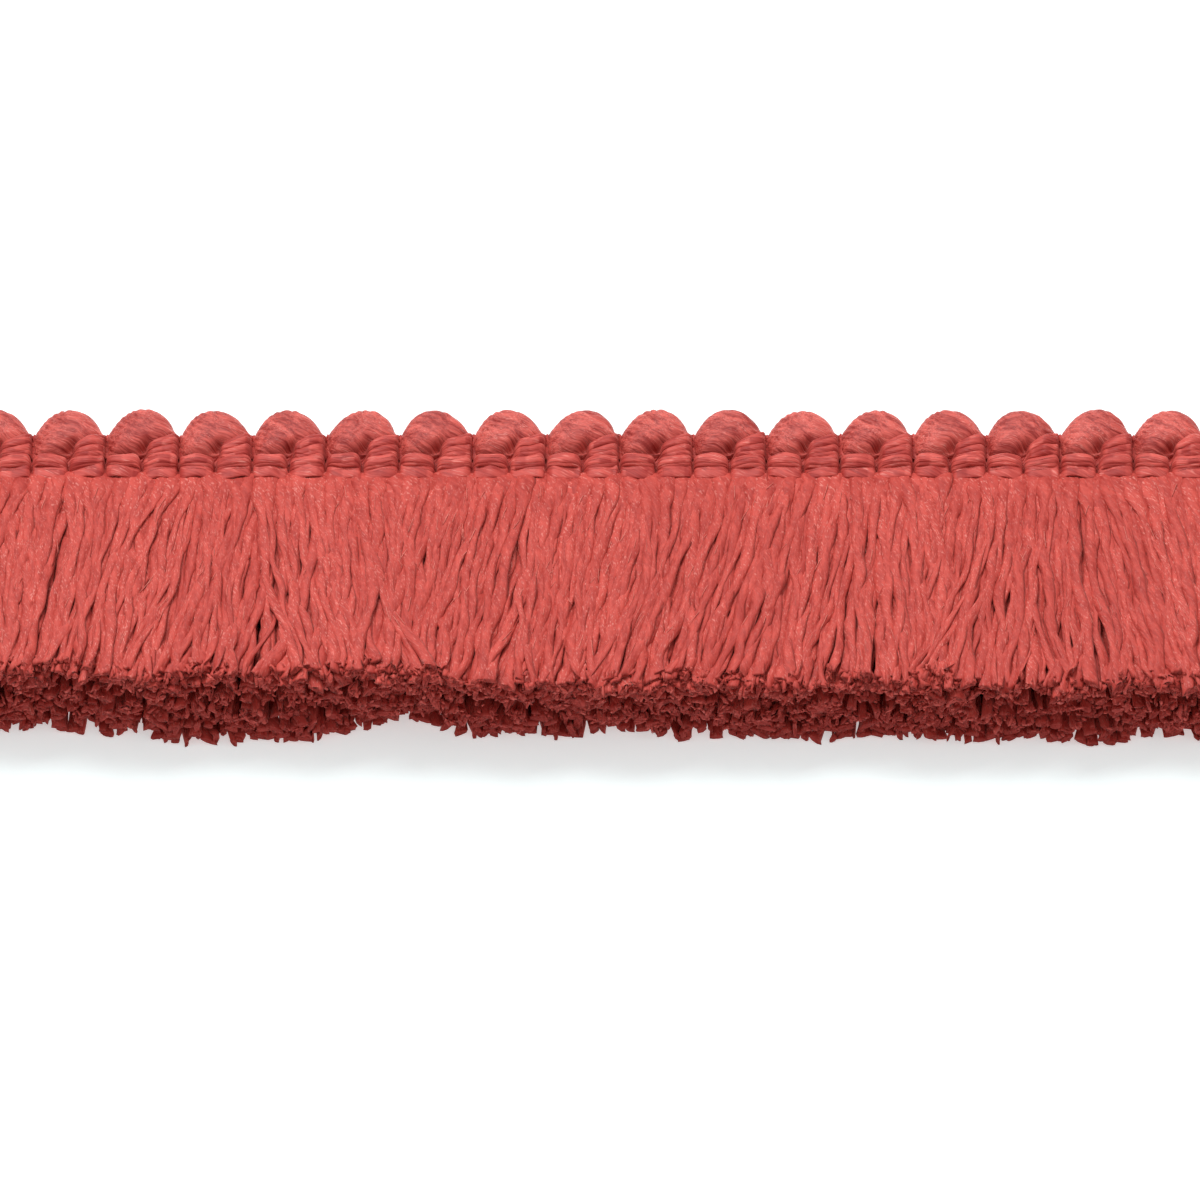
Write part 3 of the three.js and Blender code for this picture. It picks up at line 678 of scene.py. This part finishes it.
# A station is a share of the scallop's pitch from its left side. There the row reaches tall to either side
# of y, and its crown rises thick above z. Its strands lie in one roll or two, each strand wide times its
# share of the row, and pale is the range of their tones. These differ at random, and are also set apart by
# row as painted light and shade: the middle row's reach paler, the upper row's darker.
WARP_ROWS = [
    {
        "node": "warp_lower", "piece": "binding_lower",
        "strands": 2, "rolls": 1, "wide": 2.5, "turns": 0.3, "pale": (-0.1, 0.7),
        "stations": [
            {"at": 0, "y": 30.5, "z": 2.85, "tall": 0.42, "thick": 0.2},
            {"at": 0.03, "y": 30.48, "z": 3.26, "tall": 0.54, "thick": 0.4},
            {"at": 0.1, "y": 30.46, "z": 3.4, "tall": 0.6, "thick": 0.5},
            {"at": 0.25, "y": 30.42, "z": 3.46, "tall": 0.62, "thick": 0.54},
            {"at": 0.4, "y": 30.38, "z": 3.38, "tall": 0.6, "thick": 0.5},
            {"at": 0.47, "y": 30.35, "z": 3.2, "tall": 0.54, "thick": 0.4},
            {"at": 0.5, "y": 30.25, "z": 2.7, "tall": 0.42, "thick": 0.2},
            {"at": 0.53, "y": 30.2, "z": 3.16, "tall": 0.52, "thick": 0.4},
            {"at": 0.6, "y": 30.24, "z": 3.34, "tall": 0.58, "thick": 0.5},
            {"at": 0.75, "y": 30.38, "z": 3.44, "tall": 0.62, "thick": 0.54},
            {"at": 0.9, "y": 30.5, "z": 3.45, "tall": 0.6, "thick": 0.5},
            {"at": 0.97, "y": 30.53, "z": 3.3, "tall": 0.54, "thick": 0.4},
        ],
    },
    {
        "node": "warp_middle", "piece": "binding_middle",
        # Painted light: this row's tones reach paler than the other rows'.
        "strands": 4, "rolls": 1, "wide": 2.6, "turns": 0.2, "pale": (-0.1, 0.95),
        "stations": [
            {"at": 0, "y": 31.52, "z": 2.8, "tall": 0.48, "thick": 0.25},
            {"at": 0.025, "y": 31.52, "z": 3.2, "tall": 0.52, "thick": 0.55},
            {"at": 0.09, "y": 31.52, "z": 3.44, "tall": 0.6, "thick": 0.74},
            {"at": 0.25, "y": 31.53, "z": 3.54, "tall": 0.66, "thick": 0.84},
            {"at": 0.41, "y": 31.48, "z": 3.42, "tall": 0.6, "thick": 0.74},
            {"at": 0.475, "y": 31.42, "z": 3.12, "tall": 0.52, "thick": 0.55},
            {"at": 0.5, "y": 31.3, "z": 2.5, "tall": 0.48, "thick": 0.25},
            {"at": 0.525, "y": 31.22, "z": 3.05, "tall": 0.52, "thick": 0.55},
            {"at": 0.59, "y": 31.26, "z": 3.33, "tall": 0.6, "thick": 0.74},
            {"at": 0.75, "y": 31.4, "z": 3.46, "tall": 0.66, "thick": 0.84},
            {"at": 0.91, "y": 31.54, "z": 3.48, "tall": 0.62, "thick": 0.76},
            {"at": 0.975, "y": 31.56, "z": 3.3, "tall": 0.54, "thick": 0.58},
        ],
    },
    {
        "node": "warp_upper", "piece": "binding_upper",
        # Painted shade: this row's tones reach darker than the other rows'.
        "strands": 5, "rolls": 2, "wide": 1.6, "turns": 0.4, "pale": (-0.3, 0.7),
        "stations": [
            {"at": 0, "y": 34.2, "z": 2.5, "tall": 1.75, "thick": 0.3},
            {"at": 0.04, "y": 34.2, "z": 2.5, "tall": 1.7, "thick": 0.3},
            {"at": 0.2, "y": 32.4, "z": 2.7, "tall": 1.0, "thick": 0.3},
            {"at": 0.45, "y": 32.3, "z": 2.3, "tall": 0.8, "thick": 0.3},
            {"at": 0.54, "y": 32.95, "z": 2.5, "tall": 0.8, "thick": 0.3},
            {"at": 0.59, "y": 32.8, "z": 3.25, "tall": 1.02, "thick": 0.6},
            {"at": 0.66, "y": 32.92, "z": 3.35, "tall": 1.22, "thick": 0.82},
            {"at": 0.79, "y": 33.15, "z": 3.38, "tall": 1.44, "thick": 0.95},
            {"at": 0.92, "y": 33.5, "z": 3.28, "tall": 1.58, "thick": 0.85},
            {"at": 0.975, "y": 33.7, "z": 3.05, "tall": 1.62, "thick": 0.65},
        ],
    },
]
WARP_SIDES = 10
WARP_STEPS = 4
WARP_WOBBLE = 0.08
WARP_SPREAD = 0.75
WARP_WANDER = 0.04
ROLL_ROUND = 0.86
STRAND_DEPTH = 0.3
STRAND_LEAST = 0.15
WARP_COLOUR = {"deep": (0.32, 0.019, 0.015), "light": (0.71, 0.107, 0.084)}


def binding_row(row, chance):
    """The rings of one row's strands, which lie round the row's own section."""
    stations = []
    for start in np.arange(0, TRIM_LENGTH, SCALLOP_PITCH):
        wobble = chance.uniform(-WARP_WOBBLE, WARP_WOBBLE, (len(row["stations"]), 4))
        for station, shake in zip(row["stations"], wobble):
            x = -TRIM_LENGTH / 2 + start + station["at"] * SCALLOP_PITCH
            section = np.array([station["y"], station["z"], station["tall"], station["thick"]])
            stations.append((x, *(section + shake)))
    stations.append((TRIM_LENGTH / 2, *stations[0][1:]))
    line = through(np.array(stations), WARP_STEPS)
    line[:, 0] = np.clip(line[:, 0], -TRIM_LENGTH / 2, TRIM_LENGTH / 2)
    strand = np.arange(row["strands"])
    spread = (strand + 0.5) / row["strands"] * 2 - 1
    across = spread[:, None] * line[:, 3] * WARP_SPREAD
    waves = line[:, 0] * chance.uniform(0.8, 2.2, (row["strands"], 1))
    across += WARP_WANDER * np.sin(waves + 9 * spread[:, None])
    in_roll = (spread + 1) / 2 * row["rolls"] % 1 * 2 - 1
    crown = np.sqrt(1 - (in_roll * ROLL_ROUND) ** 2)[:, None] * line[:, 4]
    half = line[:, 3] / row["strands"] * row["wide"]
    deep = np.maximum(line[:, 4] * STRAND_DEPTH, STRAND_LEAST)
    along = np.broadcast_to(line[:, 0], (row["strands"], len(line)))
    angle, lay = twisted(WARP_SIDES, along / 2.4, 0.3, row["turns"])
    lay = lay + chance.uniform(-LAY_SPREAD, LAY_SPREAD, (row["strands"], 1, 1, 3))
    rings = np.empty((row["strands"], len(line), WARP_SIDES, 3))
    rings[..., 0] = line[:, 0][None, :, None]
    rings[..., 1] = (line[:, 1] + across)[..., None] + half[None, :, None] * np.cos(angle)
    rings[..., 2] = (line[:, 2] + crown)[..., None] + deep[None, :, None] * np.sin(angle)
    tone = chance.uniform(*row["pale"], (row["strands"], len(line) // WARP_STEPS + 1))
    tone = np.repeat(tone, WARP_STEPS, axis=1)[:, :len(line), None]
    return rings, lay, tone


warp_finish = yarn_finish("heading_viscose", WARP_COLOUR, filament=0.13, gloss=0.45, flecks=0.4)
for number, row in enumerate(WARP_ROWS):
    rings, lay, tone = binding_row(row, np.random.default_rng(70 + number))
    spun(row["piece"], rings, lay, tone, 0, warp_finish, row["node"])


# The surface that it lies on: a plain white sheet of card, much larger than the trim, under soft light
# that comes from above and behind, so that the cut face and the surface before it are in soft shade.
FLOOR_HALF = 3
WHITE = (1, 1, 1, 1)
CARD_SURFACE = {
    "Base Color": (0.74, 0.86, 0.86, 1),
    "Roughness": 0.9,
    "Specular IOR Level": 0.1,
    "Emission Color": WHITE,
    "Emission Strength": 0.43,
}

card = bpy.data.meshes.new("white_card")
corners = [(x * FLOOR_HALF, y * FLOOR_HALF, 0) for x, y in ((-1, -1), (1, -1), (1, 1), (-1, 1))]
card.from_pydata(corners, [], [(0, 1, 2, 3)])
floor = bpy.data.objects.new("white_card", card)
bpy.context.scene.collection.objects.link(floor)
card_finish = bpy.data.materials.new("white_card")
card_finish.use_nodes = True
for socket, value in CARD_SURFACE.items():
    card_finish.node_tree.nodes["Principled BSDF"].inputs[socket].default_value = value
card.materials.append(card_finish)

SKY_LIGHT = 0.6
KEY_POWER = 20.5
KEY_SIZE = 0.9
KEY_PLACE = Vector((-0.3, 0.78, 1.27))

sky = bpy.data.worlds.new("studio")
sky.use_nodes = True
sky.node_tree.nodes["Background"].inputs["Strength"].default_value = SKY_LIGHT
sky.node_tree.nodes["Background"].inputs["Color"].default_value = WHITE
bpy.context.scene.world = sky
key = bpy.data.lights.new("soft_key", "AREA")
key.size = KEY_SIZE
key.energy = KEY_POWER
key_lamp = bpy.data.objects.new("soft_key", key)
key_lamp.location = KEY_PLACE
key_lamp.rotation_euler = (-KEY_PLACE).to_track_quat("-Z", "Y").to_euler()
bpy.context.scene.collection.objects.link(key_lamp)
bpy.context.scene.view_settings.view_transform = "Standard"
